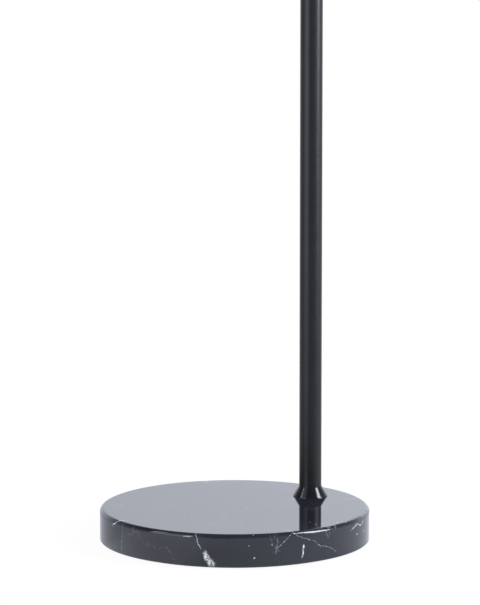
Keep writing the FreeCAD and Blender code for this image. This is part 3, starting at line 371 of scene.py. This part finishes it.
def bowl_paint():
    """Satin black outside, white enamel inside: the two meet in the middle of the sheet."""
    material, g, shader = finish("bowl_paint", 0.36, IOR=1.42)
    where = g.place()
    low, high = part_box("bowl")
    ring_low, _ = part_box("bowl_ring")
    wall = ring_low.z - low.z
    depth = high.z - low.z - BOWL_BEAD
    rim = high.x - BOWL_INSET
    centre = (rim**2 + depth**2 - BOWL_FLAT**2) / (2 * depth)
    radius = math.hypot(BOWL_FLAT, centre)
    reach = g.vector("DISTANCE", where, (0, 0, low.z + centre))
    inside = g.math("LESS_THAN", reach, radius - wall / 2)
    level = g.add("ShaderNodeSeparateXYZ", where).outputs["Z"]
    above = g.math("GREATER_THAN", level, low.z + wall / 2)
    below = g.math("LESS_THAN", level, high.z - ENAMEL_STOP)
    inside = g.math("MULTIPLY", inside, g.math("MULTIPLY", above, below))
    cloud = g.ramp(g.noise(where, 26.0, 4.0, 0.6).outputs[0], 0.3, 0.7)
    black = g.mix(cloud, (0.0055, 0.0057, 0.0066, 1), (0.0075, 0.0077, 0.0088, 1))
    enamel = g.mix(cloud, (0.835, 0.828, 0.805, 1), (0.85, 0.845, 0.825, 1))
    g.set(shader.inputs["Base Color"], g.mix(inside, black, enamel))
    g.set(shader.inputs["Roughness"], g.math("ADD", 0.36, g.math("MULTIPLY", inside, -0.10)))
    bump(g, shader, g.noise(where, 2200.0, 2.0).outputs[0], 0.35, 0.00003)
    return material


def felt():
    material, g, shader = finish("felt", 0.95, Sheen_Weight=0.5, Sheen_Roughness=0.5)
    where = g.place()
    fibre = g.noise(g.vector("MULTIPLY", where, (1, 1, 0.4)), 1400.0, 6.0, 0.75, 2.0).outputs[0]
    g.set(shader.inputs["Base Color"], g.mix(fibre, (0.006, 0.006, 0.007, 1), (0.045, 0.045, 0.048, 1)))
    bump(g, shader, fibre, 0.9, 0.0005)
    return material


def metal(name, colour, roughness, stretch=(1, 1, 1), swing=0.06):
    """Plated or turned metal, with its fine marks drawn out by stretch."""
    material, g, shader = finish(name, roughness, Metallic=1.0)
    where = g.place()
    vary(g, shader, where, 60.0, colour, 0.9, 1.05, roughness, swing)
    lines = g.noise(g.vector("MULTIPLY", where, stretch), 900.0, 3.0, 0.6).outputs[0]
    bump(g, shader, lines, 0.25, 0.00004)
    return material


def moulded(name, colour, roughness, grain=1500.0, depth=0.00004):
    """Moulded plastic or rubber, with the mould's fine texture. Pale ones are evener in colour."""
    material, g, shader = finish(name, roughness, IOR=1.49)
    where = g.place()
    uneven = 0.012 if min(colour) > 0.5 else 0.09
    vary(g, shader, where, 80.0, colour, 1 - uneven, 1 + uneven, roughness, 0.04)
    bump(g, shader, g.noise(where, grain, 2.0).outputs[0], 0.4, depth)
    return material


# The knob's pointer: half its width, where it starts and ends above the shaft's middle, and the depths
# between which its groove is painted.
POINTER_HALF, POINTER_START, POINTER_END = 0.75 * MM, 1.5 * MM, 9.5 * MM
POINTER_SHALLOW, POINTER_DEEP = 0.1 * MM, 0.9 * MM


def knob_plastic():
    """Textured black plastic, with white paint in the pointer's groove."""
    material, g, shader = finish("knob_plastic", 0.55, IOR=1.49)
    where = g.place()
    low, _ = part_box("dimmer_knob")
    shaft_low, shaft_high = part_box("dimmer_shaft")
    middle = (shaft_low.z + shaft_high.z) / 2
    split = g.add("ShaderNodeSeparateXYZ", where)
    across = g.math("LESS_THAN", g.math("ABSOLUTE", split.outputs["X"]), POINTER_HALF)
    above = g.math("GREATER_THAN", split.outputs["Z"], middle + POINTER_START)
    below = g.math("LESS_THAN", split.outputs["Z"], middle + POINTER_END)
    deep = g.math("GREATER_THAN", split.outputs["Y"], low.y + POINTER_SHALLOW)
    near = g.math("LESS_THAN", split.outputs["Y"], low.y + POINTER_DEEP)
    groove = g.math("MULTIPLY", g.math("MULTIPLY", across, above), g.math("MULTIPLY", deep, near))
    groove = g.math("MULTIPLY", groove, below)
    cloud = g.noise(where, 90.0, 3.0).outputs[0]
    black = g.mix(cloud, (0.010, 0.010, 0.011, 1), (0.016, 0.016, 0.017, 1))
    g.set(shader.inputs["Base Color"], g.mix(groove, black, (0.78, 0.78, 0.76, 1)))
    bump(g, shader, g.noise(where, 1800.0, 2.0).outputs[0], 0.5, 0.00006)
    return material


def opal():
    """Opal plastic dome of the bulb, which is off."""
    material, g, shader = finish("opal", 0.32, IOR=1.5, Subsurface_Weight=0.5, Subsurface_Scale=0.004)
    shader.inputs["Subsurface Radius"].default_value = (1.0, 0.9, 0.8)
    vary(g, shader, g.place(), 40.0, (0.86, 0.86, 0.84), 0.98, 1.02, 0.32, 0.03)
    return material


def make_finishes():
    """One finish for each of the record's slots."""
    return {
        "marble": marble(),
        "felt": felt(),
        "gloss_paint": paint("gloss_paint", (0.0055, 0.0055, 0.0065), 0.15, 240.0, 0.00002),
        "satin_paint": paint("satin_paint", (0.0062, 0.0064, 0.0075), 0.36, 2200.0, 0.000012, 1.40),
        "bowl_paint": bowl_paint(),
        "zinc": metal("zinc", (0.62, 0.63, 0.64), 0.28),
        "turned_steel": metal("turned_steel", (0.16, 0.165, 0.17), 0.34, stretch=(1, 8, 1)),
        "nylon": moulded("nylon", (0.05, 0.05, 0.05), 0.5),
        "rubber": moulded("rubber", (0.014, 0.014, 0.014), 0.7, 900.0, 0.0001),
        "cord_jacket": moulded("cord_jacket", (0.02, 0.02, 0.021), 0.48),
        "knob_plastic": knob_plastic(),
        "shaft_steel": metal("shaft_steel", (0.55, 0.56, 0.57), 0.25, stretch=(1, 10, 1)),
        "board": moulded("board", (0.02, 0.14, 0.05), 0.42),
        "control_case": metal("control_case", (0.60, 0.61, 0.62), 0.35),
        "terminal": moulded("terminal", (0.72, 0.73, 0.71), 0.3),
        "ferrite": moulded("ferrite", (0.04, 0.04, 0.045), 0.7, 700.0, 0.0001),
        "capacitor": moulded("capacitor", (0.55, 0.36, 0.05), 0.25),
        "holder_plastic": moulded("holder_plastic", (0.010, 0.010, 0.011), 0.16, 400.0, 0.00003),
        "holder_ceramic": moulded("holder_ceramic", (0.78, 0.76, 0.72), 0.6, 500.0, 0.00008),
        "holder_brass": metal("holder_brass", (0.76, 0.62, 0.36), 0.22),
        "bulb_cap": metal("bulb_cap", (0.72, 0.73, 0.74), 0.22, stretch=(1, 1, 6)),
        "bulb_pip": metal("bulb_pip", (0.60, 0.55, 0.45), 0.35),
        "bulb_body": moulded("bulb_body", (0.82, 0.82, 0.81), 0.28, depth=0.00001),
        "led_plate": metal("led_plate", (0.80, 0.80, 0.78), 0.5),
        "bulb_dome": opal(),
    }


def dress():
    """Gives every CAD node the finish of its slot."""
    finishes = make_finishes()
    for part in frame["record"]["subparts"]:
        node = frame["nodes"][part["node"]]
        for slot in node.material_slots:
            slot.material = finishes[part["material_slot"]]


make_camera()
make_studio()
dress()
bpy.context.scene.view_settings.view_transform = "Standard"
